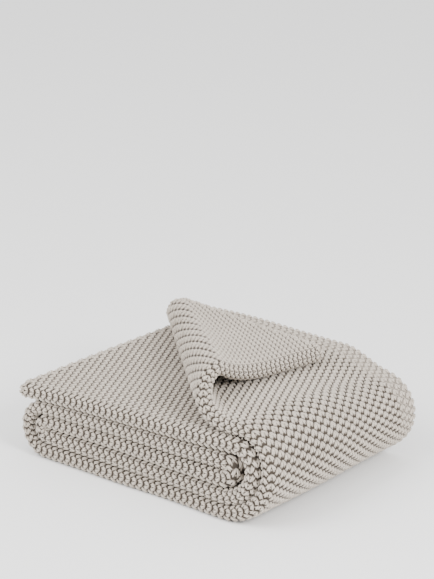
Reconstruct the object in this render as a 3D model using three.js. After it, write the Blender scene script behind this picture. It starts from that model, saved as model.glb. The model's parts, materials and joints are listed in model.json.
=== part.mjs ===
// Folded knitted throw: one long panel, folded in width into plies and in length into six leaves.
// Millimetres, +Z up. +X runs along the leaves towards the end with the outer fold, +Y runs from the
// folded front to the edge side. The origin is under the middle of the stack.
import * as THREE from 'three';

// the stack
const stackDepth = 222;
const gap = 0.3;
const leftFoldX = -128;
const innerLeftFoldX = -124;
const leafEndX = -150;
const coreFoldX = 83;
const middleFoldBottomX = 90;
const middleFoldTopX = 105;
const outerFoldBottomX = 90;
const outerFoldTopX = 106;

// thickness of each leaf at the left and at the right end of the stack, from the bottom up
const leafThickness = {
  bottom: { left: 15, right: 15 },
  second: { left: 17, right: 15 },
  third: { left: 12, right: 17 },
  fourth: { left: 12, right: 17 },
  innerEnd: { left: 15, right: 15 },
  top: { left: 15, right: 15 },
};

// the corner of the top leaf, rolled back over the leaf
const creaseAngle = 41.5;
const creaseFrontX = 104;
const creaseRadiusFront = 20;
const creaseRadiusFar = 8;
const topLeafEndX = -150;
const cornerShear = 0.5;
const cornerGather = 0.85;
const cornerSettle = 22;
const cornerRest = 1;
const cornerSideMargin = 8;

// the linked chain that finishes each end of the panel
const hemWidth = 4;
const hemOverhang = 0.6;

// facets
const edgeFacets = 6;
const foldFacets = 14;
const rollFacets = 8;
const flapFacets = 8;
const depthFacets = 8;

const clothColor = 0xcdcac3;
const hemColor = 0xc4c0b8;

const order = ['bottom', 'second', 'third', 'fourth', 'innerEnd', 'top'];

// height of a leaf's middle at one end of the stack
function levelOf(leaf, end) {
  const below = order.slice(0, order.indexOf(leaf));
  const base = below.reduce((sum, name) => sum + leafThickness[name][end], 0);
  return base + leafThickness[leaf][end] / 2;
}

// middle height and thickness of a leaf at x, running evenly from one end of the stack to the other
function leafAt(leaf, x) {
  const share = (x - leftFoldX) / (coreFoldX - leftFoldX);
  const thickness = leafThickness[leaf];
  return {
    x,
    z: THREE.MathUtils.lerp(levelOf(leaf, 'left'), levelOf(leaf, 'right'), share),
    thick: THREE.MathUtils.lerp(thickness.left, thickness.right, share),
  };
}

// outline of the cloth's cross-section: across is the place in depth, the second number is the side
// of the cloth from -1 to 1; the front is a round fold and the far side a stack of edges
function section(front, far, thick) {
  const radius = (thick - gap) / 2;
  const edge = radius / 3;
  const points = [];
  for (let i = 0; i <= edgeFacets; i += 1) {
    const turn = Math.PI * (i / edgeFacets - 0.5);
    points.push(new THREE.Vector2(front + radius * (1 - Math.cos(turn)), Math.sin(turn)));
  }
  const start = front + radius;
  const end = far - edge;
  for (let i = 1; i <= depthFacets; i += 1) {
    points.push(new THREE.Vector2(start + (end - start) * (i / depthFacets), 1));
  }
  points.push(new THREE.Vector2(far, 1 - edge / radius));
  points.push(new THREE.Vector2(far, edge / radius - 1));
  for (let i = depthFacets; i >= 1; i -= 1) {
    points.push(new THREE.Vector2(start + (end - start) * (i / depthFacets), -1));
  }
  return new THREE.Shape(points);
}

function signedVolume(geometry) {
  const position = geometry.getAttribute('position');
  const a = new THREE.Vector3();
  const b = new THREE.Vector3();
  const c = new THREE.Vector3();
  let volume = 0;
  for (let i = 0; i < position.count; i += 3) {
    a.fromBufferAttribute(position, i);
    b.fromBufferAttribute(position, i + 1);
    c.fromBufferAttribute(position, i + 2);
    volume += a.dot(b.cross(c)) / 6;
  }
  return volume;
}

// turns every triangle round where a bend has mirrored the solid
function faceOutward(geometry) {
  if (signedVolume(geometry) > 0) {
    return geometry;
  }
  const position = geometry.getAttribute('position');
  const keep = new THREE.Vector3();
  const other = new THREE.Vector3();
  for (let i = 0; i < position.count; i += 3) {
    keep.fromBufferAttribute(position, i + 1);
    other.fromBufferAttribute(position, i + 2);
    position.setXYZ(i + 1, other.x, other.y, other.z);
    position.setXYZ(i + 2, keep.x, keep.y, keep.z);
  }
  return geometry;
}

// extrudes the cross-section along a straight run, then bends the run into place:
// place(across, side, along) gives a point, with side from -1 to 1 and along from 0 to 1
function clothRun(name, outline, steps, place, color = clothColor) {
  const extruded = new THREE.ExtrudeGeometry(outline, { depth: 1, steps, bevelEnabled: false });
  const geometry = extruded.index ? extruded.toNonIndexed() : extruded;
  const position = geometry.getAttribute('position');
  for (let i = 0; i < position.count; i += 1) {
    const point = place(position.getX(i), position.getY(i), position.getZ(i));
    position.setXYZ(i, point.x, point.y, point.z);
  }
  faceOutward(geometry);
  geometry.computeVertexNormals();
  const material = new THREE.MeshStandardMaterial({ color, roughness: 0.95, metalness: 0 });
  const mesh = new THREE.Mesh(geometry, material);
  mesh.name = name;
  return mesh;
}

function leafRun(name, leaf, fromX, toX) {
  const outline = section(0, stackDepth, leafThickness[leaf].right);
  return clothRun(name, outline, 2, (across, side, along) => {
    const at = leafAt(leaf, THREE.MathUtils.lerp(fromX, toX, along));
    return new THREE.Vector3(at.x, across, at.z + (side * (at.thick - gap)) / 2);
  });
}

// half turn of the cloth from one leaf to another at an end of the stack
function foldRun(name, lower, upper, lowerX, upperX, end) {
  const direction = end === 'right' ? 1 : -1;
  const low = leafAt(lower, lowerX);
  const high = leafAt(upper, upperX);
  const middle = (low.z + high.z) / 2;
  const radius = (high.z - low.z) / 2;
  const outline = section(0, stackDepth, Math.min(low.thick, high.thick));
  return clothRun(name, outline, foldFacets, (across, side, along) => {
    const turn = Math.PI * along;
    const half = (THREE.MathUtils.lerp(low.thick, high.thick, along) - gap) / 2;
    const offset = side < 0 ? Math.max(side * half, gap / 2 - radius) : side * half;
    const out = radius + offset;
    const x = THREE.MathUtils.lerp(lowerX, upperX, along) + direction * (gap + out * Math.sin(turn));
    return new THREE.Vector3(x, across, middle - out * Math.cos(turn));
  });
}

// the crease line crosses the top leaf: along runs down the crease, over runs square to it
const crease = {
  angle: THREE.MathUtils.degToRad(creaseAngle),
  length: stackDepth / Math.sin(THREE.MathUtils.degToRad(creaseAngle)),
};
crease.along = new THREE.Vector2(-Math.cos(crease.angle), Math.sin(crease.angle));
crease.over = new THREE.Vector2(-Math.sin(crease.angle), -Math.cos(crease.angle));
crease.widen = (creaseRadiusFar - creaseRadiusFront) / crease.length;

function creaseX(across) {
  return creaseFrontX - across / Math.tan(crease.angle);
}

// length of cloth beyond the crease at this depth, square to the crease
function clothBeyond(across) {
  return (creaseX(across) - topLeafEndX) * Math.sin(crease.angle);
}

// length of cloth that the roll takes up to this turn, square to the crease
function clothInTurn(across, turn) {
  const atCrease = creaseRadiusFront + (crease.widen * across) / Math.sin(crease.angle);
  return (turn * atCrease) / (1 - (turn * crease.widen) / Math.tan(crease.angle));
}

// place of a point of the turned corner: beyond is its length of cloth square to the crease
function cornerPoint(across, side, beyond) {
  const alongCrease = beyond / Math.tan(crease.angle) + across / Math.sin(crease.angle);
  const radius = creaseRadiusFront + crease.widen * alongCrease;
  const turn = Math.min(beyond / radius, Math.PI);
  const flat = Math.max(beyond - Math.PI * radius, 0) * cornerGather;
  const half = (leafThickness.top.left - gap) / 2;
  const rest = leafThickness.top.left + cornerRest;
  const sink = Math.max(2 * radius - rest, 0) * (1 - Math.exp(-flat / cornerSettle));
  const over = radius * Math.sin(turn) - flat - side * half * Math.sin(turn);
  const rise = radius * (1 - Math.cos(turn)) - sink + side * half * Math.cos(turn);
  const along = alongCrease - cornerShear * flat;
  const x = creaseFrontX + along * crease.along.x + over * crease.over.x;
  const y = along * crease.along.y + over * crease.over.y;
  return new THREE.Vector3(x, y, leafAt('top', x).z + rise);
}

// the depth at which this much cloth is left beyond a turn of the roll
function depthWithCloth(turn, length) {
  let near = 0;
  let far = stackDepth;
  for (let i = 0; i < 40; i += 1) {
    const middle = (near + far) / 2;
    if (clothBeyond(middle) - clothInTurn(middle, turn) > length) {
      near = middle;
    } else {
      far = middle;
    }
  }
  return near;
}

function topLeaf() {
  const outline = section(0, stackDepth, leafThickness.top.left);
  return clothRun('top_leaf', outline, flapFacets, (across, side, along) => {
    const at = leafAt('top', THREE.MathUtils.lerp(creaseX(across) + gap, outerFoldTopX, along));
    return new THREE.Vector3(at.x, across, at.z + (side * (at.thick - gap)) / 2);
  });
}

// the lower quarter of the roll, which stays with the leaf
function creaseRoll() {
  const far = depthWithCloth(0, cornerSideMargin);
  return clothRun('crease_roll', section(0, far, leafThickness.top.left), rollFacets,
    (across, side, along) => {
      const length = Math.min(clothInTurn(across, Math.PI / 2), clothBeyond(across));
      return cornerPoint(across, side, THREE.MathUtils.lerp(gap, length, along));
    });
}

// the upper quarter of the roll and the flat of the corner, up to the hem
function turnedCorner(far) {
  return clothRun('turned_corner', section(0, far, leafThickness.top.left), rollFacets + flapFacets,
    (across, side, along) => {
      const start = clothInTurn(across, Math.PI / 2) + gap;
      return cornerPoint(across, side, THREE.MathUtils.lerp(start, clothBeyond(across) - hemWidth, along));
    });
}

function cornerHem(far) {
  const share = 1 - hemOverhang / leafThickness.top.left;
  return clothRun('corner_hem', section(0, far, leafThickness.top.left), 1,
    (across, side, along) => {
      const end = clothBeyond(across);
      return cornerPoint(across, side * share, THREE.MathUtils.lerp(end - hemWidth + gap, end, along));
    }, hemColor);
}

function innerEndHem() {
  const outline = section(0, stackDepth, leafThickness.innerEnd.left);
  return clothRun('inner_end_hem', outline, 1, (across, side, along) => {
    const at = leafAt('innerEnd', leafEndX + (hemWidth - gap) * along);
    const half = (at.thick - gap) / 2 - hemOverhang;
    return new THREE.Vector3(at.x, across, at.z + side * half);
  }, hemColor);
}

const cornerFar = depthWithCloth(Math.PI / 2, cornerSideMargin + hemWidth);

const throwBlanket = new THREE.Group();
throwBlanket.add(
  leafRun('bottom_leaf', 'bottom', leftFoldX, outerFoldBottomX),
  leafRun('second_leaf', 'second', innerLeftFoldX, middleFoldBottomX),
  leafRun('third_leaf', 'third', innerLeftFoldX, coreFoldX),
  leafRun('fourth_leaf', 'fourth', leftFoldX, coreFoldX),
  leafRun('inner_end_leaf', 'innerEnd', leafEndX + hemWidth, middleFoldTopX),
  innerEndHem(),
  foldRun('inner_left_fold', 'second', 'third', innerLeftFoldX, innerLeftFoldX, 'left'),
  foldRun('outer_left_fold', 'bottom', 'fourth', leftFoldX, leftFoldX, 'left'),
  foldRun('core_right_fold', 'third', 'fourth', coreFoldX, coreFoldX, 'right'),
  foldRun('middle_right_fold', 'second', 'innerEnd', middleFoldBottomX, middleFoldTopX, 'right'),
  foldRun('outer_right_fold', 'bottom', 'top', outerFoldBottomX, outerFoldTopX, 'right'),
  topLeaf(),
  creaseRoll(),
  turnedCorner(cornerFar),
  cornerHem(cornerFar),
);

// the origin goes under the middle of the stack
const box = new THREE.Box3().setFromObject(throwBlanket);
const middle = box.getCenter(new THREE.Vector3());
throwBlanket.position.set(-middle.x, -middle.y, -box.min.z);

export default throwBlanket;
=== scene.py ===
import json
import math

import bpy
import numpy as np
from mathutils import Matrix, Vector


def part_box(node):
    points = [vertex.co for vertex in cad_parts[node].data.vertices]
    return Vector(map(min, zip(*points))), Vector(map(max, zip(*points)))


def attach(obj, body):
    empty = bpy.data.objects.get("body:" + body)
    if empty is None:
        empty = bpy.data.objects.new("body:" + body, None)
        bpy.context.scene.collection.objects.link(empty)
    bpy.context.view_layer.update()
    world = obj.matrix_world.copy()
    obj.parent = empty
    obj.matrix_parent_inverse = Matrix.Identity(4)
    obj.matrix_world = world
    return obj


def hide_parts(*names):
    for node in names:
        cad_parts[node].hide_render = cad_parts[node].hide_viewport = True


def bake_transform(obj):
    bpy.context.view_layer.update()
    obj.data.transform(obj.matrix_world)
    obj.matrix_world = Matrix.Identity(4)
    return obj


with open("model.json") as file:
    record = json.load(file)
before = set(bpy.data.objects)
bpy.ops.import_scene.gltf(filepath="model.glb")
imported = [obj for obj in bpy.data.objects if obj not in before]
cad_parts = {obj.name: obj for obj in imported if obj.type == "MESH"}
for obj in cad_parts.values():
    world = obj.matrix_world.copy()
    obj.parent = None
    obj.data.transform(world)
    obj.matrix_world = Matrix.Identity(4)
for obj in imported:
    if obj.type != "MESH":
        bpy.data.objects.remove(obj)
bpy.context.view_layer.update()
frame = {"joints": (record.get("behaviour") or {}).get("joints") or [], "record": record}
mm = 0.001
scene = bpy.context.scene


def say(text):
    print("[throw] " + text, flush=True)


camera = {
    "azimuth": 40.0,
    "elevation": 21.5,
    "distance": 2.2,
    "lens": 146.4,
    "lookAt": (0.0053, -0.0013, 0.050),
    "aimUp": 0.111,
    "aimRight": -0.0047,
}


def makeCamera(c):
    turn = math.radians(c["azimuth"])
    rise = math.radians(c["elevation"])
    back = Vector((math.sin(turn) * math.cos(rise), -math.cos(turn) * math.cos(rise), math.sin(rise)))
    right = Vector((math.cos(turn), math.sin(turn), 0))
    up = back.cross(right)
    data = bpy.data.cameras.new("camera")
    data.lens = c["lens"]
    data.sensor_width = 36
    eye = bpy.data.objects.new("camera", data)
    scene.collection.objects.link(eye)
    middle = Vector(c["lookAt"])
    eye.location = middle + back * c["distance"]
    aim = middle + up * c["aimUp"] + right * c["aimRight"] - eye.location
    eye.rotation_mode = "QUATERNION"
    eye.rotation_quaternion = aim.to_track_quat("-Z", "Y")
    data.clip_start = 0.05
    data.clip_end = 50
    scene.camera = eye


studio = {
    "floorColor": (0.93, 0.93, 0.925),
    "floorSize": 14.0,
    "worldStrength": 1.62,
    "keyPower": 46.0,
    "fillPower": 38.0,
}


def areaLight(name, place, target, size, power):
    data = bpy.data.lights.new(name, "AREA")
    data.shape = "DISK"
    data.size = size
    data.energy = power
    lamp = bpy.data.objects.new(name, data)
    scene.collection.objects.link(lamp)
    lamp.location = place
    lamp.rotation_mode = "QUATERNION"
    lamp.rotation_quaternion = (Vector(target) - Vector(place)).to_track_quat("-Z", "Y")
    return lamp


def makeStudio(s):
    half = s["floorSize"] / 2
    mesh = bpy.data.meshes.new("floor")
    corners = [(-half, -half, 0), (half, -half, 0), (half, half, 0), (-half, half, 0)]
    mesh.from_pydata(corners, [], [(0, 1, 2, 3)])
    floor = bpy.data.objects.new("floor", mesh)
    scene.collection.objects.link(floor)
    material = bpy.data.materials.new("floorPaper")
    material.use_nodes = True
    shader = material.node_tree.nodes["Principled BSDF"]
    shader.inputs["Base Color"].default_value = (*s["floorColor"], 1)
    shader.inputs["Roughness"].default_value = 0.9
    mesh.materials.append(material)
    world = bpy.data.worlds.new("studio")
    world.use_nodes = True
    background = world.node_tree.nodes["Background"]
    background.inputs["Color"].default_value = (1, 1, 1, 1)
    background.inputs["Strength"].default_value = s["worldStrength"]
    scene.world = world
    areaLight("keyLight", (1.7, -0.35, 1.15), (0, 0, 0.05), 0.8, s["keyPower"])
    areaLight("fillLight", (-0.5, -1.5, 1.6), (0, 0, 0.05), 1.4, s["fillPower"])


makeCamera(camera)
makeStudio(studio)
say("camera and studio are in place")


# The panel is a rectangle with two measures: length s runs from the end inside the stack to the
# end at the turned-back corner, and width v runs across it. All lengths are in millimetres.

leafOrder = ["bottom", "second", "third", "fourth", "innerEnd", "top"]

stack = {
    "thicknessLeft": {"bottom": 15, "second": 17, "third": 12, "fourth": 12, "innerEnd": 15, "top": 15},
    "thicknessRight": {"bottom": 15, "second": 15, "third": 17, "fourth": 17, "innerEnd": 15, "top": 15},
    "base": 0.15,
    "plies": 6,
    "plyGauge": 2.6,
    "edgeInset": 4.0,
    "setback": 6.0,
    "coreLowerReach": 5.0,
    "coreUpperReach": 13.0,
}

# the outer fold is slack at its far end, and the top leaf's far edge curls up a little
slack = {
    "shoulderDrop": 0.17,
    "shoulderDraw": 8.0,
    "edgeLift": 7.0,
    "edgeWidth": 16.0,
}

corner = {
    "angle": 41.5,
    "startInset": 2.0,
    "radiusFront": 20.0,
    "radiusFar": 8.0,
    "shear": 0.5,
    "settle": 22.0,
    "gather": 0.85,
    "rest": 1.0,
}


def nodeSpan(node, axis):
    low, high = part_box(node)
    return low[axis] / mm, high[axis] / mm


def smooth(x):
    x = np.clip(x, 0, 1)
    return x * x * (3 - 2 * x)


class FoldedCloth:
    def __init__(self, stack, slack, corner):
        self.stack = stack
        self.slack = slack
        self.corner = corner
        self.front, self.far = nodeSpan("bottom_leaf", 1)
        self.depth = self.far - self.front
        self.bottomLeft, self.outerBottom = nodeSpan("bottom_leaf", 0)
        self.innerLeft, self.middleRight = nodeSpan("second_leaf", 0)
        self.innerRight = nodeSpan("inner_end_leaf", 0)[1]
        self.coreRight = nodeSpan("third_leaf", 0)[1]
        self.innerEnd = nodeSpan("inner_end_hem", 0)[0]
        self.outerTop = nodeSpan("top_leaf", 0)[1]
        self.cornerEnd = self.innerEnd
        self.makeCrossSection()
        self.makeCentreLine()
        self.makeCrease()

    def level(self, leaf, x):
        share = (x - self.bottomLeft) / (self.coreRight - self.bottomLeft)
        rank = leafOrder.index(leaf)
        ends = []
        for side in ("thicknessLeft", "thicknessRight"):
            thick = [self.stack[side][name] for name in leafOrder]
            ends.append((sum(thick[:rank]) + thick[rank] / 2, thick[rank]))
        low, high = ends
        return (low[0] + (high[0] - low[0]) * share - self.stack["base"],
                low[1] + (high[1] - low[1]) * share)

    def makeCrossSection(self):
        gauge = self.stack["plyGauge"]
        outer = (self.stack["plies"] - 1) / 2
        inset = self.stack["edgeInset"]
        front = outer * gauge
        places, sides = [], []

        def straight(start, end, side):
            places.append(np.linspace(start, end, 40))
            sides.append(np.full(40, side))

        def turn(at, first, second, way):
            angle = np.linspace(0, math.pi, 20)
            radius = abs(first - second) / 2
            places.append(at + way * radius * gauge * np.sin(angle))
            sides.append((first + second) / 2 + (first - second) / 2 * np.cos(angle))

        farEdge = self.depth
        farTurn = self.depth - inset
        straight(farEdge, front, outer)
        turn(front, outer, -outer, -1)
        straight(front, farTurn, -outer)
        turn(farTurn, -outer, 1 - outer, 1)
        straight(farTurn, front, 1 - outer)
        turn(front, 1 - outer, outer - 1, -1)
        straight(front, farTurn, outer - 1)
        turn(farTurn, outer - 1, outer - 2, 1)
        straight(farTurn, front, outer - 2)
        turn(front, outer - 2, 2 - outer, -1)
        straight(front, farEdge - 1, 2 - outer)
        place = np.concatenate(places)
        side = np.concatenate(sides)
        step = np.hypot(np.diff(place), np.diff(side) * gauge)
        fresh = np.concatenate([[True], step > 1e-6])
        place, side, step = place[fresh], side[fresh], step[step > 1e-6]
        measure = np.concatenate([[0], np.cumsum(step)])
        self.width = measure[-1]
        reach = 40.0
        self.sectionAt = np.concatenate([[-reach], measure, [self.width + reach]])
        self.sectionPlace = np.concatenate([[farEdge + reach], place, [farEdge - 1 + reach]])
        self.sectionSide = np.concatenate([[side[0]], side, [side[-1]]])
        self.frontTurn = (farEdge - front, farEdge - front + math.pi * front)

    def makeCentreLine(self):
        rows = []

        def leafRun(leaf, start, end):
            for x in np.linspace(start, end, 60):
                z, thick = self.level(leaf, x)
                rows.append((x, z, thick, 1e3, 0))

        def fold(lower, upper, lowerX, upperX, way, climbing):
            lowZ, lowThick = self.level(lower, lowerX)
            highZ, highThick = self.level(upper, upperX)
            radius = (highZ - lowZ) / 2
            shares = np.linspace(0, 1, 60)
            for share in shares if climbing else shares[::-1]:
                angle = math.pi * share
                x = lowerX + (upperX - lowerX) * share + way * radius * math.sin(angle)
                z = (lowZ + highZ) / 2 - radius * math.cos(angle)
                inward = way if climbing else -way
                rows.append((x, z, lowThick + (highThick - lowThick) * share, radius, -inward))

        leafRun("innerEnd", self.innerEnd - 40, self.innerRight)
        fold("second", "innerEnd", self.middleRight, self.innerRight, 1, False)
        leafRun("second", self.middleRight, self.innerLeft)
        fold("second", "third", self.innerLeft, self.innerLeft, -1, True)
        coreLower = self.coreRight + self.stack["coreLowerReach"]
        coreUpper = self.coreRight + self.stack["coreUpperReach"]
        leafRun("third", self.innerLeft, coreLower)
        fold("third", "fourth", coreLower, coreUpper, 1, True)
        leafRun("fourth", coreUpper, self.bottomLeft)
        fold("bottom", "fourth", self.bottomLeft, self.bottomLeft, -1, False)
        self.bottomStart = len(rows)
        leafRun("bottom", self.bottomLeft, self.outerBottom)
        self.wrapStart = len(rows)
        fold("bottom", "top", self.outerBottom, self.outerTop, 1, True)
        data = np.array(rows, float)
        step = np.hypot(np.diff(data[:, 0]), np.diff(data[:, 1]))
        measure = np.concatenate([[0], np.cumsum(step)]) - 40.0
        self.bottomStart = measure[self.bottomStart]
        self.wrapStart = measure[self.wrapStart]
        fresh = np.concatenate([[True], step > 1e-6])
        data, measure = data[fresh], measure[fresh]
        tangent = np.gradient(data[:, :2], measure, axis=0)
        tangent /= np.linalg.norm(tangent, axis=1, keepdims=True)
        self.lineAt = measure
        self.line = np.column_stack([data, tangent])
        self.topStart = measure[-1]
        self.length = self.topStart + self.outerTop - self.cornerEnd

    def makeCrease(self):
        angle = math.radians(self.corner["angle"])
        self.creaseFrontX = self.outerTop - self.corner["startInset"]
        self.creaseAlong = np.array([-math.cos(angle), math.sin(angle)])
        self.creaseOver = np.array([-math.sin(angle), -math.cos(angle)])
        self.creaseLength = self.depth / math.sin(angle)

    # distance beyond the crease, square to it, and the roll's radius there
    def overCrease(self, s, v):
        place = np.interp(v, self.sectionAt, self.sectionPlace)
        place = place + self.stack["setback"] * smooth((s - self.wrapStart) / (self.topStart - self.wrapStart))
        fromX = self.outerTop - (s - self.topStart) - self.creaseFrontX
        over = fromX * self.creaseOver[0] + place * self.creaseOver[1]
        along = fromX * self.creaseAlong[0] + place * self.creaseAlong[1]
        return np.where(s > self.topStart, over, -1e3), self.radiusAt(along)

    def radiusAt(self, along):
        c = self.corner
        radius = c["radiusFront"] + (c["radiusFar"] - c["radiusFront"]) * along / self.creaseLength
        return np.maximum(radius, 6)

    def point(self, s, v):
        place = np.interp(v, self.sectionAt, self.sectionPlace)
        side = np.interp(v, self.sectionAt, self.sectionSide)
        held = np.minimum(s, self.topStart)
        x, z, thick, radius, inward, dx, dz = (np.interp(held, self.lineAt, self.line[:, k]) for k in range(7))
        offset = side * thick / self.stack["plies"]
        tight = np.maximum(radius - 0.4, 0.4)
        offset = np.where(inward > 0, np.maximum(offset, -tight), offset)
        offset = np.where(inward < 0, np.minimum(offset, tight), offset)
        place = place + self.stack["setback"] * smooth((s - self.wrapStart) / (self.topStart - self.wrapStart))
        points = np.stack([x + dz * offset, place, z - dx * offset], -1)
        onTop = s > self.topStart
        if onTop.any():
            points[onTop] = self.topPoint((s - self.topStart)[onTop], place[onTop], side[onTop])
        over, _ = self.overCrease(s, v)
        edge = smooth((place - self.depth + 6 + self.slack["edgeWidth"]) / self.slack["edgeWidth"])
        lift = self.slack["edgeLift"] * edge * smooth((100 - points[..., 0]) / 160)
        points[..., 2] += np.where(onTop & (over < 0), lift * smooth(-over / 14), 0)
        points[..., 1] += self.front
        return self.settled(self.shoulder(points))

    def shoulder(self, p):
        far = smooth((p[..., 1] + 40) / 145)
        drop = far * smooth((p[..., 0] - 58) / 62) * self.slack["shoulderDrop"]
        draw = far * smooth((p[..., 0] - 58) / 80) * self.slack["shoulderDraw"]
        return np.stack([p[..., 0] - draw, p[..., 1], p[..., 2] * (1 - drop)], -1)

    def topPoint(self, run, place, side):
        c = self.corner
        x = self.outerTop - run
        lift = side * self.stack["thicknessLeft"]["top"] / self.stack["plies"]
        fromX, fromPlace = x - self.creaseFrontX, place
        along = fromX * self.creaseAlong[0] + fromPlace * self.creaseAlong[1]
        over = fromX * self.creaseOver[0] + fromPlace * self.creaseOver[1]
        radius = self.radiusAt(along)
        turn = np.clip(over / radius, 0, math.pi)
        flat = np.maximum(over - math.pi * radius, 0) * c["gather"]
        rest = self.stack["thicknessLeft"]["top"] + c["rest"]
        sink = np.maximum(2 * radius - rest, 0) * (1 - np.exp(-flat / c["settle"]))
        across = np.where(over < 0, over, radius * np.sin(turn) - flat)
        rise = radius * (1 - np.cos(turn)) - sink
        across = across - np.sin(turn) * lift
        rise = rise + np.cos(turn) * lift
        along = along - c["shear"] * flat
        newX = self.creaseFrontX + along * self.creaseAlong[0] + across * self.creaseOver[0]
        newPlace = along * self.creaseAlong[1] + across * self.creaseOver[1]
        z, _ = self.level("top", newX)
        return np.stack([newX, newPlace, z + rise], -1)

    def settled(self, p):
        x, y, z = p[..., 0], p[..., 1], p[..., 2]
        high = np.clip(z / 90, 0, 1.3)
        wave = (np.sin(x / 41 + 0.7) * np.cos(y / 57 + 0.3) + 0.6 * np.sin(x / 23 - y / 39 + 1.9)) * 0.55
        swell = (np.sin(x / 33 + z / 21 + 0.4) + 0.7 * np.sin(x / 17 - z / 13)) * 0.5
        nearFront = np.clip(1 - (y - self.front) / 60, 0, 1) ** 2
        return np.stack([x, y + swell * nearFront * 1.2, z + wave * high], -1)


cloth = FoldedCloth(stack, slack, corner)
say(f"panel {cloth.width:.0f} x {cloth.length:.0f} mm, top leaf starts at {cloth.topStart:.0f} mm")

knit = {
    "wale": 7.0,
    "course": 3.75,
    "loopHeight": 2.1,
    "loopLean": 0.0,
    "relief": 1.2,
    "yarnRadius": 0.95,
    "patchMargin": 1.5,
    "seed": 7,
}
courses = int(round(cloth.length / knit["course"]))
wales = int(round(cloth.width / knit["wale"]))
coursePitch = cloth.length / courses
walePitch = cloth.width / wales
say(f"{wales} stitches by {courses} courses")


def meshFrom(name, points, faces, uv=None, uvName="OFBake"):
    mesh = bpy.data.meshes.new(name)
    faces = np.asarray(faces, np.int32)
    mesh.vertices.add(len(points))
    mesh.vertices.foreach_set("co", (np.asarray(points, np.float32)).ravel())
    mesh.loops.add(faces.size)
    mesh.loops.foreach_set("vertex_index", faces.ravel())
    mesh.polygons.add(len(faces))
    mesh.polygons.foreach_set("loop_start", np.arange(0, faces.size, faces.shape[1], dtype=np.int32))
    mesh.update(calc_edges=True)
    if uv is not None:
        layer = mesh.uv_layers.new(name=uvName)
        layer.uv.foreach_set("vector", np.asarray(uv, np.float32).ravel())
    mesh.validate()
    return mesh


def gridFaces(rows, columns):
    first = np.arange((rows - 1) * columns).reshape(rows - 1, columns)[:, :-1].ravel()
    return np.stack([first, first + 1, first + columns + 1, first + columns], 1)


# a piece of the panel's middle surface, with its stitch counts fitted into one square as its UV map
def clothPatch(name, firstCourse, lastCourse, firstWale, lastWale, perStitch=2):
    margin = knit["patchMargin"]
    i = np.linspace(firstCourse - margin, lastCourse + margin,
                    int((lastCourse - firstCourse + 2 * margin) * perStitch) + 1)
    j = np.linspace(firstWale - margin, lastWale + margin,
                    int((lastWale - firstWale + 2 * margin) * (perStitch + 1)) + 1)
    gi, gj = np.meshgrid(i, j, indexing="ij")
    points = cloth.point(gi.ravel() * coursePitch, gj.ravel() * walePitch) * mm
    faces = gridFaces(len(i), len(j))
    uv = np.stack([(gj.ravel() - j[0]) / (j[-1] - j[0]), (gi.ravel() - i[0]) / (i[-1] - i[0])], 1)
    mesh = meshFrom(name, points, faces, uv[faces.ravel()], "stitchMap")
    mesh.polygons.foreach_set("use_smooth", np.ones(len(faces), bool))
    obj = bpy.data.objects.new(name, mesh)
    scene.collection.objects.link(obj)
    return obj


class Wire:
    # one socket of a tree, with arithmetic that adds Math nodes
    def __init__(self, tree, socket):
        self.tree = tree
        self.socket = socket

    def math(self, operation, *values):
        node = self.tree.nodes.new("ShaderNodeMath")
        node.operation = operation
        for k, value in enumerate(values):
            if isinstance(value, Wire):
                self.tree.links.new(value.socket, node.inputs[k])
            else:
                node.inputs[k].default_value = value
        return Wire(self.tree, node.outputs[0])

    def __add__(self, other):
        return self.math("ADD", self, other)

    __radd__ = __add__

    def __sub__(self, other):
        return self.math("SUBTRACT", self, other)

    def __rsub__(self, other):
        return self.math("SUBTRACT", other, self)

    def __mul__(self, other):
        return self.math("MULTIPLY", self, other)

    __rmul__ = __mul__

    def __truediv__(self, other):
        return self.math("DIVIDE", self, other)

    def __rtruediv__(self, other):
        return self.math("DIVIDE", other, self)

    def sine(self):
        return self.math("SINE", self)

    def cosine(self):
        return self.math("COSINE", self)

    def floor(self):
        return self.math("FLOOR", self)

    def fraction(self):
        return self.math("FRACT", self)


class Tree:
    def __init__(self, tree):
        self.tree = tree

    # settings go first, then values by the sockets' order, then values by their names
    def node(self, kind, settings=None, *values, **sockets):
        made = self.tree.nodes.new(kind)
        for key, value in (settings or {}).items():
            if key == "stops":
                self.setStops(made.color_ramp.elements, value)
            else:
                setattr(made, key, value)
        for place, value in enumerate(values):
            self.feed(made, place, value)
        for key, value in sockets.items():
            self.feed(made, key.replace("_", " "), value)
        return made

    def setStops(self, elements, stops):
        ends = (elements[0], elements[1])
        for element, (position, color) in zip(ends, (stops[0], stops[-1])):
            element.position = position
            element.color = (*color, 1)
        for position, color in stops[1:-1]:
            elements.new(position).color = (*color, 1)

    def feed(self, made, key, value):
        socket = made.inputs[key]
        if isinstance(value, Wire):
            self.tree.links.new(value.socket, socket)
        elif isinstance(value, bpy.types.NodeSocket):
            self.tree.links.new(value, socket)
        else:
            socket.default_value = value

    def mixColors(self, factor, low, high):
        made = self.node("ShaderNodeMix", {"data_type": "RGBA"}, Factor=factor)
        self.feed(made, 6, low)
        self.feed(made, 7, high)
        return made.outputs[2]


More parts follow.
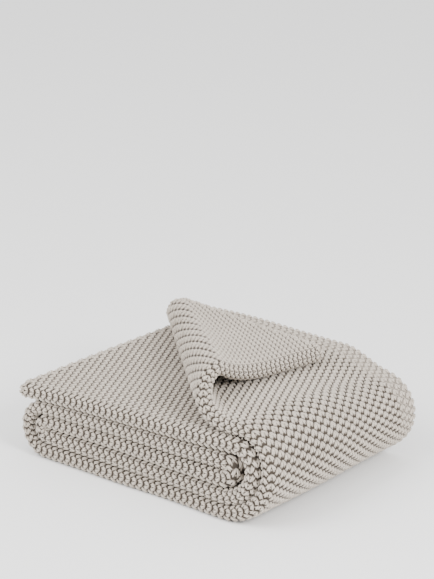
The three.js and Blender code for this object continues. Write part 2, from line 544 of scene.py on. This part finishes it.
# Moss stitch: every stitch is a loop of its course's yarn. Its feet lie on one face of the cloth
# and its legs on the other, and the faces change places from stitch to stitch and course to course.
def stitchTree():
    tree = bpy.data.node_groups.new("mossStitch", "GeometryNodeTree")
    sockets = [
        ("Patch", "NodeSocketGeometry", None),
        ("Courses", "NodeSocketInt", 10),
        ("Stitches", "NodeSocketInt", 10),
        ("First Course", "NodeSocketInt", 0),
        ("First Stitch", "NodeSocketInt", 0),
        ("Steps", "NodeSocketInt", 10),
        ("Sides", "NodeSocketInt", 5),
        ("Loop Height", "NodeSocketFloat", 1.7),
        ("Loop Lean", "NodeSocketFloat", 0.1),
        ("Relief", "NodeSocketFloat", 0.0005),
        ("Yarn Radius", "NodeSocketFloat", 0.001),
        ("Unevenness", "NodeSocketFloat", 0.05),
        ("Margin", "NodeSocketFloat", 1.5),
        ("Seed", "NodeSocketInt", 0),
        ("Yarn", "NodeSocketMaterial", None),
    ]
    for name, kind, value in sockets:
        made = tree.interface.new_socket(name, in_out="INPUT", socket_type=kind)
        if value is not None:
            made.default_value = value
    tree.interface.new_socket("Geometry", in_out="OUTPUT", socket_type="NodeSocketGeometry")
    t = Tree(tree)
    given = t.node("NodeGroupInput")
    g = {name: Wire(tree, given.outputs[name]) for name, _, _ in sockets}

    line = t.node("GeometryNodeCurvePrimitiveLine")
    count = g["Stitches"] * g["Steps"] + 3
    resample = t.node("GeometryNodeResampleCurve", {"mode": "COUNT"}, Curve=line.outputs[0], Count=count)
    copies = t.node("GeometryNodeDuplicateElements", {"domain": "SPLINE"},
                    Geometry=resample.outputs[0], Amount=g["Courses"])
    row = Wire(tree, copies.outputs["Duplicate Index"])
    index = Wire(tree, t.node("GeometryNodeSplineParameter").outputs["Index"])

    along = (index - 1) / g["Steps"]
    stitch = (along + 0.0001).floor()
    share = along - stitch
    course = row + g["First Course"]
    number = stitch + g["First Stitch"]
    face = (course + number).math("PINGPONG", course + number, 1.0) * 2 - 1
    turn = share * (2 * math.pi)
    sideways = (turn * 2).sine() * g["Loop Lean"]
    height = turn.cosine() * -0.5 * g["Loop Height"]
    head = (turn.cosine() * -0.5 + 0.5).math("POWER", turn.cosine() * -0.5 + 0.5, 6.0)
    through = (share * (5 * math.pi)).sine() * -1 + head * 0.75
    relief = through * face * g["Relief"]

    where = t.node("ShaderNodeCombineXYZ", None, X=number + share, Y=course, Z=0.5)
    noise = t.node("ShaderNodeTexNoise", {"noise_dimensions": "4D"}, Vector=where.outputs[0],
                   W=g["Seed"] * 1.37, Scale=0.9, Detail=1.0)
    uneven = (Wire(tree, noise.outputs[0]) - 0.5) * g["Unevenness"]

    sideAt = stitch + share + sideways + uneven
    courseAt = row + 0.5 + height + uneven
    spot = t.node("ShaderNodeCombineXYZ", None,
                  X=(sideAt + g["Margin"]) / (g["Stitches"] + g["Margin"] * 2),
                  Y=(courseAt + g["Margin"]) / (g["Courses"] + g["Margin"] * 2), Z=0.0)
    uvMap = t.node("GeometryNodeInputNamedAttribute", {"data_type": "FLOAT_VECTOR"}, Name="stitchMap")
    position = t.node("GeometryNodeInputPosition")
    normal = t.node("GeometryNodeInputNormal")

    # position and normal of the cloth under each point of the yarn
    def onPatch(value):
        return t.node("GeometryNodeSampleUVSurface", {"data_type": "FLOAT_VECTOR"},
                      g["Patch"], value, uvMap.outputs[0], spot.outputs[0]).outputs[0]

    outward = onPatch(normal.outputs[0])
    lift = t.node("ShaderNodeVectorMath", {"operation": "SCALE"}, outward, Scale=relief)
    place = t.node("ShaderNodeVectorMath", {"operation": "ADD"},
                   onPatch(position.outputs[0]), lift.outputs[0])

    tagged = copies.outputs[0]
    tags = [("course", "FLOAT", course), ("place", "FLOAT", number + share),
            ("relief", "FLOAT", relief), ("outward", "FLOAT_VECTOR", outward)]
    for name, kind, value in tags:
        tagged = t.node("GeometryNodeStoreNamedAttribute", {"data_type": kind, "domain": "POINT"},
                        Geometry=tagged, Name=name, Value=value).outputs[0]
    laid = t.node("GeometryNodeSetPosition", None, Geometry=tagged, Position=place.outputs[0])
    ring = t.node("GeometryNodeCurvePrimitiveCircle", {"mode": "RADIUS"},
                  Resolution=g["Sides"], Radius=g["Yarn Radius"])
    tube = t.node("GeometryNodeCurveToMesh", None, Curve=laid.outputs[0], Profile_Curve=ring.outputs[0])
    # how far the yarn's skin stands out of the outer face, which the normal points away from; the yarn's
    # material paints shade where this is low
    kept = t.node("GeometryNodeInputNamedAttribute", {"data_type": "FLOAT_VECTOR"}, Name="outward")
    middle = t.node("GeometryNodeInputNamedAttribute", {"data_type": "FLOAT"}, Name="relief")
    facing = t.node("ShaderNodeVectorMath", {"operation": "DOT_PRODUCT"}, kept.outputs[0], normal.outputs[0])
    rise = (Wire(tree, middle.outputs[0]) + Wire(tree, facing.outputs["Value"]) * g["Yarn Radius"]) * -1
    measured = t.node("GeometryNodeStoreNamedAttribute", {"data_type": "FLOAT", "domain": "POINT"},
                      Geometry=tube.outputs[0], Name="rise", Value=rise)
    realize = t.node("GeometryNodeRealizeInstances", None, Geometry=measured.outputs[0])
    paint = t.node("GeometryNodeSetMaterial", None, Geometry=realize.outputs[0], Material=g["Yarn"])
    t.node("NodeGroupOutput", None, paint.outputs[0])
    return tree


mossStitch = stitchTree()


def setInputs(modifier, values):
    byName = {item.name: item.identifier for item in modifier.node_group.interface.items_tree
              if item.item_type == "SOCKET" and item.in_out == "INPUT"}
    for name, value in values.items():
        modifier[byName[name]] = value


# yarn for one rectangle of the panel, as plain numbers
def stitchYarn(name, firstCourse, lastCourse, firstWale, lastWale, steps=10, sides=5, style=knit):
    patch = clothPatch(name + "Patch", firstCourse, lastCourse, firstWale, lastWale)
    modifier = patch.modifiers.new("mossStitch", "NODES")
    modifier.node_group = mossStitch
    setInputs(modifier, {
        "Courses": lastCourse - firstCourse,
        "Stitches": lastWale - firstWale,
        "First Course": firstCourse,
        "First Stitch": firstWale,
        "Steps": steps,
        "Sides": sides,
        "Loop Height": style["loopHeight"],
        "Loop Lean": style["loopLean"],
        "Relief": style["relief"] * mm,
        "Yarn Radius": style["yarnRadius"] * mm,
        "Margin": knit["patchMargin"],
        "Seed": knit["seed"],
    })
    depsgraph = bpy.context.evaluated_depsgraph_get()
    plain = bpy.data.meshes.new_from_object(patch.evaluated_get(depsgraph), depsgraph=depsgraph)
    patch.modifiers.clear()
    count = len(plain.vertices)
    points = np.empty(count * 3, np.float32)
    plain.vertices.foreach_get("co", points)
    points[2::3] = np.maximum(points[2::3], 0.2 * mm)
    faces = np.empty(len(plain.loops), np.int32)
    plain.loops.foreach_get("vertex_index", faces)
    tags = {}
    for tag in ("course", "place", "rise"):
        values = np.empty(count, np.float32)
        plain.attributes[tag].data.foreach_get("value", values)
        tags[tag] = values
    bpy.data.meshes.remove(plain)
    old = patch.data
    bpy.data.objects.remove(patch)
    bpy.data.meshes.remove(old)
    faces = faces.reshape(-1, 4)
    around = (np.arange(count) % sides).astype(np.float32)
    corners = around[faces]
    wraps = (corners.max(1) - corners.min(1)) > 1.5
    corners = np.where(wraps[:, None] & (corners < 0.5), sides, corners) / sides
    uv = np.stack([tags["place"][faces], tags["course"][faces] + corners * 0.94 + 0.03], -1)
    say(f"{name}: {(lastCourse - firstCourse) * (lastWale - firstWale)} stitches, {len(faces) * 2} triangles")
    return {"points": points.reshape(-1, 3), "faces": faces, "uv": uv,
            "course": tags["course"], "place": tags["place"], "rise": tags["rise"]}


def keepFaces(part, mask):
    kept = part["faces"][mask]
    used = np.unique(kept)
    lookup = np.full(len(part["points"]), -1, np.int32)
    lookup[used] = np.arange(len(used), dtype=np.int32)
    return {"points": part["points"][used], "faces": lookup[kept], "uv": part["uv"][mask],
            "course": part["course"][used], "place": part["place"][used], "rise": part["rise"][used]}


def joinParts(parts):
    offset = np.cumsum([0] + [len(p["points"]) for p in parts[:-1]])
    return {"points": np.concatenate([p["points"] for p in parts]),
            "faces": np.concatenate([p["faces"] + o for p, o in zip(parts, offset)]),
            "uv": np.concatenate([p["uv"] for p in parts]),
            "course": np.concatenate([p["course"] for p in parts]),
            "place": np.concatenate([p["place"] for p in parts]),
            "rise": np.concatenate([p["rise"] for p in parts])}


hinge = frame["joints"][0]
hingeAt = np.array(hinge["pos_m"]) / mm
hingeAxis = np.array(hinge["axis"], float)
hingeAxis /= np.linalg.norm(hingeAxis)
hingeUp = np.array([0, 0, 1.0]) - hingeAxis * hingeAxis[2]
hingeUp /= np.linalg.norm(hingeUp)
bendBand = 4.0
staying, bending, lifting = 0, 1, 2


# which body each face of a part follows: s and v are the panel's two measures at its corners
def hingeSide(points, faces, s, v):
    over, radius = cloth.overCrease(s, v)
    turn = over / radius
    height = (points / mm - hingeAt) @ hingeUp / bendBand
    before = (turn <= 0) | ((turn < math.pi / 2) & (height <= -1))
    after = (turn >= math.pi) | ((turn > math.pi / 2) & (height >= 1))
    side = np.full(len(faces), bending)
    side[before[faces].all(1)] = staying
    side[after[faces].all(1)] = lifting
    return side


def splitAtHinge(part):
    side = hingeSide(part["points"], part["faces"], part["course"] * coursePitch, part["place"] * walePitch)
    return [keepFaces(part, side == which) for which in (staying, bending, lifting)]


yarnLook = {
    "color": (0.53, 0.467, 0.392),
    "shade": (0.32, 0.272, 0.222),
    "pale": (0.64, 0.572, 0.49),
    "roughness": 0.92,
    "sheen": 0.2,
    # painted shade: the near-black colour the yarn takes where it sinks below the cloth's outer face, and the
    # rise over which it fades out
    "paintedShade": (0.07, 0.053, 0.04),
    "paintedShadeFrom": -0.1,
    "paintedShadeTo": 1.42,
    "strands": 3,
    "twistPerStitch": 2.0,
    "twistDepth": 0.35,
    "fuzzDepth": 0.25,
}


def yarnMaterial(name, look, tint=1.0):
    material = bpy.data.materials.new(name)
    material.use_nodes = True
    tree = material.node_tree
    t = Tree(tree)
    shader = tree.nodes["Principled BSDF"]
    t.feed(shader, "Sheen Weight", look["sheen"])
    t.feed(shader, "Sheen Roughness", 0.6)
    t.feed(shader, "Specular IOR Level", 0.25)
    uv = t.node("ShaderNodeUVMap", {"uv_map": "yarnMap"})
    parts = t.node("ShaderNodeSeparateXYZ", None, Vector=uv.outputs[0])
    along = Wire(tree, parts.outputs[0])
    around = Wire(tree, parts.outputs[1]).fraction()
    twist = ((along * look["twistPerStitch"] + around) * (2 * math.pi * look["strands"])).sine()
    place = t.node("ShaderNodeTexCoord").outputs["Object"]
    fuzz = t.node("ShaderNodeTexNoise", None, Vector=place, Scale=2600.0, Detail=3.0, Roughness=0.7)
    patchy = t.node("ShaderNodeTexNoise", None, Vector=place, Scale=38.0, Detail=2.0)
    lot = t.node("ShaderNodeTexNoise", None, Vector=uv.outputs[0], Scale=0.8, Detail=1.0)
    mottle = Wire(tree, patchy.outputs[0]) * 0.5 + Wire(tree, lot.outputs[0]) * 0.5
    # the ramp paints shade into the twist's grooves and a paler painted highlight on its crests; mottle adds
    # the yarn's own uneven tone
    groove = twist * 0.5 + 0.5
    depth = groove * 0.55 + mottle * 0.45
    shadeColor = tuple(c * tint for c in look["shade"])
    baseColor = tuple(c * tint for c in look["color"])
    paleColor = tuple(c * tint for c in look["pale"])
    stops = [(0.15, shadeColor), (0.5, baseColor), (0.85, paleColor)]
    ramp = t.node("ShaderNodeValToRGB", {"stops": stops}, depth)
    # painted shade between the stitches: the yarn darkens towards the painted shade colour as its rise above
    # the outer face falls
    stands = Wire(tree, t.node("ShaderNodeAttribute", {"attribute_name": "rise"}).outputs["Fac"])
    shown = t.node("ShaderNodeMapRange", {"interpolation_type": "SMOOTHSTEP"}, Value=stands,
                   From_Min=look["paintedShadeFrom"], From_Max=look["paintedShadeTo"])
    color = t.mixColors(shown.outputs[0], (*look["paintedShade"], 1), ramp.outputs[0])
    t.feed(shader, "Base Color", color)
    t.feed(shader, "Roughness", mottle * 0.12 + (look["roughness"] - 0.08))
    bump = t.node("ShaderNodeBump", None, Strength=0.6, Distance=0.0004,
                  Height=twist * look["twistDepth"] + Wire(tree, fuzz.outputs[0]) * look["fuzzDepth"])
    t.feed(shader, "Normal", bump.outputs[0])
    return material


shadeClothLook = {
    # painted shade: near-black colours that stand for the shade seen between the yarns
    "color": (0.035, 0.028, 0.022),
    "pale": (0.075, 0.062, 0.05),
    "edge": (0.2, 0.17, 0.14),
    "edgePale": (0.56, 0.5, 0.425),
    "edgeFrom": 0.092,
    "edgeTo": 0.1,
    "roughness": 0.95,
    "sheen": 0.0,
}


# the cloth behind the yarns, painted near-black as the shade seen between them, and pale at the far end, where
# its folds show
def clothMaterial(name, look):
    material = bpy.data.materials.new(name)
    material.use_nodes = True
    tree = material.node_tree
    t = Tree(tree)
    shader = tree.nodes["Principled BSDF"]
    t.feed(shader, "Sheen Weight", look["sheen"])
    t.feed(shader, "Specular IOR Level", 0.2)
    uv = t.node("ShaderNodeUVMap", {"uv_map": "stitchMap"})
    parts = t.node("ShaderNodeSeparateXYZ", None, Vector=uv.outputs[0])
    across = (Wire(tree, parts.outputs[0]) * math.pi).sine()
    along = (Wire(tree, parts.outputs[1]) * math.pi).sine()
    bumps = across * along
    place = t.node("ShaderNodeTexCoord").outputs["Object"]
    fuzz = t.node("ShaderNodeTexNoise", None, Vector=place, Scale=900.0, Detail=3.0)
    mixed = bumps * 0.3 + Wire(tree, fuzz.outputs[0]) * 0.5 + 0.2
    # painted shade behind the yarns
    paintedShadeBehind = t.mixColors(mixed, (*look["color"], 1), (*look["pale"], 1))
    grain = bumps * 0.25 + Wire(tree, fuzz.outputs[0]) * 0.6 + 0.15
    light = t.mixColors(grain, (*look["edge"], 1), (*look["edgePale"], 1))
    spot = t.node("ShaderNodeSeparateXYZ", None, Vector=place)
    farEdge = t.node("ShaderNodeMapRange", {"interpolation_type": "SMOOTHSTEP"}, Value=spot.outputs[1],
                     From_Min=look["edgeFrom"], From_Max=look["edgeTo"])
    t.feed(shader, "Base Color", t.mixColors(farEdge.outputs[0], paintedShadeBehind, light))
    t.feed(shader, "Roughness", look["roughness"])
    bump = t.node("ShaderNodeBump", None, Strength=0.8, Distance=0.0008, Height=mixed)
    t.feed(shader, "Normal", bump.outputs[0])
    return material


knitYarn = yarnMaterial("knitYarn", yarnLook)
hemYarn = yarnMaterial("hemYarn", yarnLook, 0.97)
innerShadeCloth = clothMaterial("innerShadeCloth", shadeClothLook)
say("materials are ready")


# each part's map fitted into a strip of one square, its height by the part's share of the faces
def bakeMap(parts):
    total = sum(len(p["faces"]) for p in parts)
    maps, start = [], 0.0
    for p in parts:
        share = len(p["faces"]) / total
        flat = p["uv"].reshape(-1, 2)
        low = flat.min(0)
        fitted = (flat - low) / (flat.max(0) - low)
        maps.append(np.stack([0.002 + fitted[:, 0] * 0.996, start + (0.02 + fitted[:, 1] * 0.96) * share], 1))
        start += share
    return np.concatenate(maps)


# a piece has the yarn's own map in stitches, and the fitted map for the bake
def yarnPiece(name, parts, material):
    part = joinParts(parts)
    mesh = meshFrom(name, part["points"], part["faces"], part["uv"], "yarnMap")
    layer = mesh.uv_layers.new(name="OFBake")
    layer.uv.foreach_set("vector", bakeMap(parts).astype(np.float32).ravel())
    rise = mesh.attributes.new("rise", "FLOAT", "POINT")
    rise.data.foreach_set("value", part["rise"].astype(np.float32) / mm)
    mesh.polygons.foreach_set("use_smooth", np.ones(len(mesh.polygons), bool))
    mesh.materials.append(material)
    obj = bpy.data.objects.new(name, mesh)
    scene.collection.objects.link(obj)
    return obj


# how far each knitted region reaches, in stitches and courses where no unit is given
regions = {
    "leftFoldCourses": 20,
    "middleInsetStitches": 5,
    "wrapFarStitches": 6,
    "innerEndMm": 245,
    "middleFoldMm": (225, 330),
    "farMarginMm": 10.5,
    "creaseMarginMm": 12,
}

frontWales = (int(cloth.frontTurn[0] / walePitch), int(math.ceil(cloth.frontTurn[1] / walePitch)))
wrapCourse = int(cloth.wrapStart / coursePitch)
topCourse = int(cloth.topStart / coursePitch) + 1
bottomCourse = int(cloth.bottomStart / coursePitch)
leftFoldCourse = bottomCourse - regions["leftFoldCourses"]
farWale = frontWales[1] + int((cloth.depth - regions["farMarginMm"]) / walePitch) + 1
innerEndCourse = int(regions["innerEndMm"] / coursePitch)

parts = {}
parts["leftFold"] = stitchYarn("outer_left_fold_knit", leftFoldCourse, bottomCourse, 0, frontWales[0])
parts["bottom"] = stitchYarn("bottom_knit", bottomCourse, wrapCourse, 0, frontWales[0], 8, 4)
parts["wrap"] = stitchYarn("outer_right_fold_knit", wrapCourse, topCourse, 0, frontWales[0])
topOuter = stitchYarn("top_leaf_knit", topCourse, courses, 0, frontWales[0])
middleFold = tuple(int(reach / coursePitch) for reach in regions["middleFoldMm"])
parts["frontInner"] = stitchYarn("inner_front_knit", 0, middleFold[0], *frontWales)
parts["frontMiddle"] = stitchYarn("middle_front_knit", *middleFold,
                                  frontWales[0] - regions["middleInsetStitches"], frontWales[1])
parts["frontCore"] = stitchYarn("core_front_knit", middleFold[1], leftFoldCourse, *frontWales)
parts["frontOuter"] = stitchYarn("outer_front_knit", leftFoldCourse, wrapCourse, *frontWales)
parts["frontWrap"] = stitchYarn("wrap_front_knit", wrapCourse, topCourse,
                                frontWales[0], frontWales[1] + regions["wrapFarStitches"])
topFront = stitchYarn("top_front_knit", topCourse, courses, *frontWales)
innerTop = stitchYarn("inner_end_knit", 0, innerEndCourse, frontWales[1], farWale)
topInner = stitchYarn("corner_face_knit", topCourse, courses, frontWales[1], farWale)


def faceMiddle(part, key):
    return part[key][part["faces"]].mean(1)


hem = {
    "loopHeight": 1.1,
    "loopLean": 0.2,
    "relief": 1.25,
    "yarnRadius": 1.05,
}
selvedge = {
    "stepsPerCourse": 6,
    "sides": 5,
    "sway": 0.9,
    "lift": 1.3,
    "yarnRadius": 1.05,
    "outset": 0.4,
}


# a yarn along one long edge of the panel, which sways from stitch to stitch as the courses turn back
def selvedgeYarn(name, v, firstCourse, lastCourse, look):
    steps = (lastCourse - firstCourse) * look["stepsPerCourse"] + 1
    course = np.linspace(firstCourse, lastCourse, steps)
    s = np.clip(course * coursePitch, 0.5, cloth.length - 0.5)
    way = 1 if v < cloth.width / 2 else -1
    base = np.clip(v + way * look["outset"], 0.2, cloth.width - 0.2)
    on = cloth.point(s, np.full(steps, base))
    inner = cloth.point(s, np.full(steps, base + way * 1.5))
    ahead = cloth.point(np.clip(s + 0.4, 0, cloth.length), np.full(steps, base))
    behind = cloth.point(np.clip(s - 0.4, 0, cloth.length), np.full(steps, base))
    outward = on - inner
    outward /= np.linalg.norm(outward, axis=1, keepdims=True)
    along = ahead - behind
    along /= np.linalg.norm(along, axis=1, keepdims=True)
    face = np.cross(along, outward)
    turn = course * math.pi
    sway = outward * (look["sway"] * np.sin(turn * 2))[:, None]
    path = on + sway + face * (look["lift"] * np.cos(turn))[:, None]
    run = np.gradient(path, axis=0)
    run /= np.linalg.norm(run, axis=1, keepdims=True)
    first = np.cross(run, face)
    first /= np.linalg.norm(first, axis=1, keepdims=True)
    second = np.cross(run, first)
    angle = np.arange(look["sides"]) * 2 * math.pi / look["sides"]
    ring = (first[:, None] * np.cos(angle)[None, :, None] + second[:, None] * np.sin(angle)[None, :, None])
    points = (path[:, None] + ring * look["yarnRadius"]).reshape(-1, 3) * mm
    points[:, 2] = np.maximum(points[:, 2], 0.2 * mm)
    row = np.arange(steps - 1)[:, None] * look["sides"]
    a = np.arange(look["sides"])[None, :]
    b = (a + 1) % look["sides"]
    faces = np.stack([row + a, row + b, row + look["sides"] + b, row + look["sides"] + a], -1).reshape(-1, 4)
    corners = np.stack([a, a + 1, a + 1, a], -1)[0] / look["sides"]
    corners = np.tile(corners, (steps - 1, 1))
    length = course[np.stack([faces[:, k] // look["sides"] for k in range(4)], -1)]
    uv = np.stack([length, v / walePitch + corners], -1)
    say(f"{name}: {len(faces) * 2} triangles")
    return {"points": points.astype(np.float32), "faces": faces.astype(np.int32), "uv": uv,
            "course": np.repeat(course, look["sides"]).astype(np.float32),
            "place": np.full(len(points), base / walePitch, np.float32),
            "rise": np.full(len(points), look["lift"] * mm * 0.8, np.float32)}


outerSelvedge = selvedgeYarn("outer_selvedge", 0.0, leftFoldCourse, courses, selvedge)
innerSelvedge = selvedgeYarn("inner_selvedge", cloth.width, 0, courses, selvedge)
cornerHem = stitchYarn("corner_hem_chain", courses, courses + 1, 0, wales, 10, 5, hem)
innerHem = stitchYarn("inner_end_hem_chain", -1, 0, 0, wales, 10, 5, hem)
# the hem chains are kept high enough to stay out of the yarn's painted shade
for chain in (cornerHem, innerHem):
    chain["rise"] = np.maximum(np.abs(chain["rise"]), 1.1 * mm)


# the inner end's leaf shows only on the left of the crease
innerS = faceMiddle(innerTop, "course") * coursePitch
innerPlace = np.interp(faceMiddle(innerTop, "place") * walePitch, cloth.sectionAt, cloth.sectionPlace)
innerX = cloth.innerEnd + innerS
parts["innerTop"] = keepFaces(innerTop, innerPlace < (cloth.creaseFrontX + regions["creaseMarginMm"] - innerX)
                              * math.tan(math.radians(corner["angle"])))

# the inner face of the top leaf shows only beyond the crease
over, _ = cloth.overCrease(faceMiddle(topInner, "course") * coursePitch,
                           faceMiddle(topInner, "place") * walePitch)
topInner = keepFaces(topInner, over > -regions["creaseMarginMm"])

outerStay, outerBend, outerLift = splitAtHinge(topOuter)
frontStay, frontBend, frontLift = splitAtHinge(topFront)
faceStay, faceBend, faceLift = splitAtHinge(topInner)
outerEdge = splitAtHinge(outerSelvedge)
innerEdge = splitAtHinge(innerSelvedge)
hemStay, hemBend, hemLift = splitAtHinge(cornerHem)

rootPieces = {
    "outer_left_fold_knit": [parts["leftFold"]],
    "bottom_leaf_knit": [parts["bottom"]],
    "outer_right_fold_knit": [parts["wrap"]],
    "top_leaf_knit": [outerStay],
    "top_edge_knit": [frontStay, faceStay],
    "inner_front_knit": [parts["frontInner"], parts["frontMiddle"]],
    "core_front_knit": [parts["frontCore"]],
    "outer_front_knit": [parts["frontOuter"], parts["frontWrap"]],
    "inner_end_knit": [parts["innerTop"]],
    "selvedges": [outerEdge[0], innerEdge[0]],
}
bendPieces = {"crease_knit": [outerBend, frontBend, faceBend, outerEdge[1], innerEdge[1], hemBend]}
cornerPieces = {"corner_face_knit": [faceLift, frontLift, outerEdge[2], innerEdge[2]],
                "corner_back_knit": [outerLift]}
chainPieces = {"stack_hems": ([innerHem, hemStay], "folded_stack"),
               "corner_hem_chain": ([hemLift], "turned_back_corner")}


for group, body in ((rootPieces, "folded_stack"), (cornerPieces, "turned_back_corner"), (bendPieces, None)):
    for name, some in group.items():
        shown = [p for p in some if len(p["faces"])]
        piece = yarnPiece(name, shown, knitYarn)
        say(f"{name}: {sum(len(p['faces']) for p in shown) * 2} triangles")
        if body:
            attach(piece, body)
        else:
            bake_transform(piece)
for name, (some, body) in chainPieces.items():
    piece = yarnPiece(name, [p for p in some if len(p["faces"])], hemYarn)
    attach(piece, body)


sheetShape = {"thickness": 0.3, "straightStep": 16.0, "turnStep": 3.5, "creaseStep": 6.0}


def stations():
    marks = [0.0]
    line = cloth.lineAt
    while marks[-1] < cloth.length - 0.5:
        s = marks[-1]
        if s >= cloth.topStart - 4:
            step = sheetShape["creaseStep"]
        else:
            radius = np.interp([s, s + 12], line, cloth.line[:, 3]).min()
            step = sheetShape["turnStep"] if radius < 200 else sheetShape["straightStep"]
        marks.append(min(s + step, cloth.length))
    return np.array(marks)


def widthStations():
    marks = [0.0]
    side = np.interp(np.arange(0, cloth.width, 0.5), cloth.sectionAt, cloth.sectionSide)
    turning = np.abs(np.gradient(side)) > 1e-6
    while marks[-1] < cloth.width - 0.5:
        v = marks[-1]
        window = turning[int(v * 2):int((v + 9) * 2) + 1]
        marks.append(min(v + (1.4 if window[:4].any() else 9.0 if not window.any() else 2.5), cloth.width))
    return np.array(marks)


def makeSheet():
    s, v = stations(), widthStations()
    gs, gv = np.meshgrid(s, v, indexing="ij")
    points = cloth.point(gs.ravel(), gv.ravel()) * mm
    points[:, 2] = np.maximum(points[:, 2], 0.5 * mm)
    faces = gridFaces(len(s), len(v))
    side = hingeSide(points, faces, gs.ravel(), gv.ravel())
    uv = np.stack([gv.ravel() / walePitch, gs.ravel() / coursePitch], 1)
    made = []
    for name, which in (("folded_cloth", staying), ("crease_cloth", bending), ("corner_cloth", lifting)):
        kept = faces[side == which]
        used = np.unique(kept)
        lookup = np.full(len(points), -1, np.int32)
        lookup[used] = np.arange(len(used), dtype=np.int32)
        mesh = meshFrom(name, points[used], lookup[kept], uv[kept.ravel()], "stitchMap")
        mesh.polygons.foreach_set("use_smooth", np.ones(len(mesh.polygons), bool))
        mesh.materials.append(innerShadeCloth)
        obj = bpy.data.objects.new(name, mesh)
        scene.collection.objects.link(obj)
        wall = obj.modifiers.new("wall", "SOLIDIFY")
        wall.thickness = sheetShape["thickness"] * mm
        wall.offset = 0
        depsgraph = bpy.context.evaluated_depsgraph_get()
        solid = bpy.data.meshes.new_from_object(obj.evaluated_get(depsgraph), depsgraph=depsgraph)
        obj.modifiers.clear()
        obj.data = solid
        solid.name = name
        bpy.data.meshes.remove(mesh)
        say(f"{name}: {len(solid.polygons) * 2} triangles")
        made.append(obj)
    return made


foldedCloth, creaseCloth, cornerCloth = makeSheet()
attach(foldedCloth, "folded_stack")
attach(cornerCloth, "turned_back_corner")
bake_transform(creaseCloth)

stackNodes = frame["record"]["behaviour"]["bodies"]["folded_stack"]
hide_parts(*stackNodes)
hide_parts("turned_corner", "corner_hem")

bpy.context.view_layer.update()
say("done")
